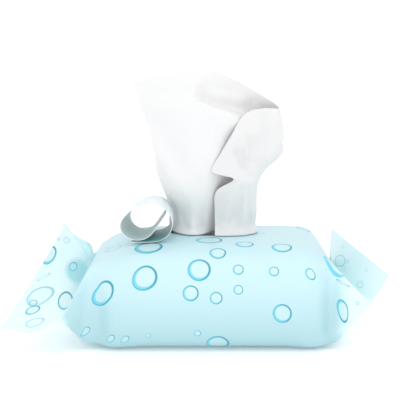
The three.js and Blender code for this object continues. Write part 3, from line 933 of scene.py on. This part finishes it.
# %% Press in the creases
# Each crease is a line seen from the front, x and z at both ends, its width, and how far it is
# pressed back, in millimetres before PRESS. Forward ones are negative. The front ones are only in
# the part doubled forward.
PRESS = 1.5
FRONT_CREASES = [
    ((24, 126), (22.8, 104), 2.2, 1.8), ((30.6, 134), (26, 101), 2.6, 1.7),
    ((14.4, 117), (21, 100), 2.4, 1.6), ((27.5, 130), (25, 104), 1.8, -1.1),
    ((18, 122), (21.5, 103), 2.0, -1.2), ((22, 98), (12, 63), 2.0, 1.5),
    ((22.5, 98), (19.8, 63), 1.8, -1.3), ((23, 98), (24, 63), 1.6, 1.2),
    ((20, 97), (7, 70), 2.6, -1.2), ((24.5, 97), (26, 66), 1.2, -0.8),
]
BACK_CREASES = [
    ((-38, 139), (-12, 96), 4.0, 0.9), ((-34, 122), (-14, 78), 3.0, -0.8), ((-20, 92), (-6, 64), 2.2, 0.8),
    ((-12, 84), (-9, 62), 1.6, -0.9), ((-17, 76), (-14, 62), 1.4, 0.8), ((-4, 80), (-4, 62), 1.5, 0.9),
    ((-44, 148), (8, 150), 3.5, 0.8), ((-6, 150), (24, 140), 3.0, -1.2), ((4, 143), (38, 137), 3.0, 1.0),
]


def crease(points, start, end, width, push):
    """Moves a sheet's points back or forward along a line in the front view."""
    start, end = np.array(start, dtype=float), np.array(end, dtype=float)
    seen = points[..., [0, 2]] - start
    way = end - start
    share = np.clip(seen @ way / (way @ way), 0, 1)
    away = np.linalg.norm(seen - share[..., None] * way, axis=-1)
    fade = np.minimum(1, np.minimum(share, 1 - share) * 4 + 0.15)
    points[..., 1] += PRESS * push * fade * np.exp(-0.5 * (away / width) ** 2)


# Which shares of the sheet are doubled forward, at its back, and standing above the stack.
FRONT_FROM = 0.7
BACK_UP_TO = 0.62
STANDING = 0.66
front_part = wipe_points[round(FRONT_FROM * ACROSS) :, : round(STANDING * ALONG)]
back_part = wipe_points[: round(BACK_UP_TO * ACROSS), : round(STANDING * ALONG)]
for line in FRONT_CREASES:
    crease(front_part, *line)
for line in BACK_CREASES:
    crease(back_part, *line)
print("creases:", len(FRONT_CREASES) + len(BACK_CREASES))

# %% Lay the pulled wipe
SHEET_WIDTH = 128
SHEET_LENGTH = 195

flat_x, flat_y = np.meshgrid(
    np.linspace(0, SHEET_WIDTH * MM, ACROSS + 1),
    np.linspace(0, SHEET_LENGTH * MM, ALONG + 1),
    indexing="ij",
)
pulled = laid_grid("pulled_wet_wipe", wipe_points, flat_x, flat_y, "cloth_web")
thicken(pulled, 0.35)
smooth_up_to(60)
area = sum(face.area for face in pulled.data.polygons) / 2
print("pulled wipe, one side, m2:", round(area, 4), "flat", SHEET_WIDTH * SHEET_LENGTH / 1e6)

# %% [markdown]
# ## The damp cloth
#
# A wipe is a white nonwoven: fine fibres laid along the sheet and bonded in small dots. They are
# far too fine to model, so they are a faint change of colour and a small bump, laid out on each
# sheet's own flat coordinates, which follow it round every fold. A little light passes into it.

# %% The cloth's finish
cloth_finish = Finish("moist_nonwoven")
cloth_flat = cloth_finish.flat_place("cloth_web")
fibres = cloth_finish.noise(cloth_finish.stretched(cloth_flat, (1.0, 0.35, 1.0)), 1400.0, 3.0, 0.6)
dots = cloth_finish.node("ShaderNodeTexVoronoi", {}, {"Vector": cloth_flat, "Scale": 600.0}, "Distance")
damp = cloth_finish.noise(cloth_flat, 45.0)
cloth_material = cloth_finish.shade(
    Base_Color=cloth_finish.mix(fibres, (0.80, 0.80, 0.805, 1), (0.835, 0.835, 0.84, 1)),
    Roughness=0.65 + 0.2 * damp,
    IOR=1.4,
    Sheen_Weight=0.1,
    Subsurface_Weight=0.12,
    Subsurface_Radius=(1.0, 1.0, 1.0),
    Subsurface_Scale=0.004,
    Normal=cloth_finish.bump(fibres + 0.5 * dots, 0.0003, 0.3),
)
pulled.data.materials.append(cloth_material)
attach(pulled, "root")
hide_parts("pulled_wipe")
print("pulled wipe faces:", len(pulled.data.polygons))

# %% [markdown]
# ## The folded stack
#
# Under the pulled wipe lie 29 more, each folded in three with soft round turns. One is made and
# copied, and each copy is shifted a little, because a stack never lies quite true.

# %% One folded wipe
FOLDED_DEPTH = 65
LAYER_PITCH = 0.51
WIPE_PITCH = 1.56
STACK_BASE = 2.6
WIPE_COUNT = 29
# Half the thickness of one layer, so the height of the lowest layer's middle.
LOWEST = 0.195
FLAT_POINTS = 22
TURN_POINTS = 9
POINTS_ALONG_PACK = 25

radius = LAYER_PITCH / 2
inner_y = FOLDED_DEPTH / 2 - LOWEST - radius
turn_angles = np.linspace(-math.pi / 2, math.pi / 2, TURN_POINTS)
side_view = [(y, LOWEST) for y in np.linspace(-FOLDED_DEPTH / 2, inner_y, FLAT_POINTS)[:-1]]
side_view += [
    (inner_y + radius * math.cos(a), LOWEST + radius + radius * math.sin(a)) for a in turn_angles
]
side_view += [(y, LOWEST + LAYER_PITCH) for y in np.linspace(inner_y, -inner_y, FLAT_POINTS)[1:-1]]
side_view += [
    (-inner_y - radius * math.cos(a), LOWEST + LAYER_PITCH + radius + radius * math.sin(a))
    for a in turn_angles
]
side_view += [
    (y, LOWEST + 2 * LAYER_PITCH) for y in np.linspace(-inner_y, FOLDED_DEPTH / 2, FLAT_POINTS)[1:]
]
side_view = np.array(side_view)
print("side view of a folded wipe:", len(side_view), "points")

# %% Lay it along the pack
x_places = np.linspace(-SHEET_WIDTH / 2, SHEET_WIDTH / 2, POINTS_ALONG_PACK)
folded_points = np.zeros((len(x_places), len(side_view), 3))
folded_points[..., 0] = x_places[:, None]
folded_points[..., 1:] = side_view[None]
print("folded wipe:", folded_points.shape[0], "by", folded_points.shape[1], "points")

# %% Copy it into the stack
luck = np.random.default_rng(7)
SLIDE = 0.12
for n in range(1, WIPE_COUNT + 1):
    lift = STACK_BASE + (n - 1) * WIPE_PITCH
    slide = luck.uniform(-SLIDE, SLIDE, size=2)
    points = folded_points + np.array([slide[0], slide[1], lift])
    cut_x = np.broadcast_to((x_places + SHEET_WIDTH / 2)[:, None] * MM, points.shape[:2])
    cut_y = web_lengths(points, 1, 0) * MM
    wipe = laid_grid(f"folded_wet_wipe_{n:02d}", points, cut_x, cut_y, "cloth_web")
    thicken(wipe, 0.36)
    smooth_up_to(40)
    wipe.data.materials.append(cloth_material)
    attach(wipe, "root")
    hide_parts(f"folded_wipe_{n:02d}")
print("folded wipes:", n, "each with", len(wipe.data.polygons), "faces")
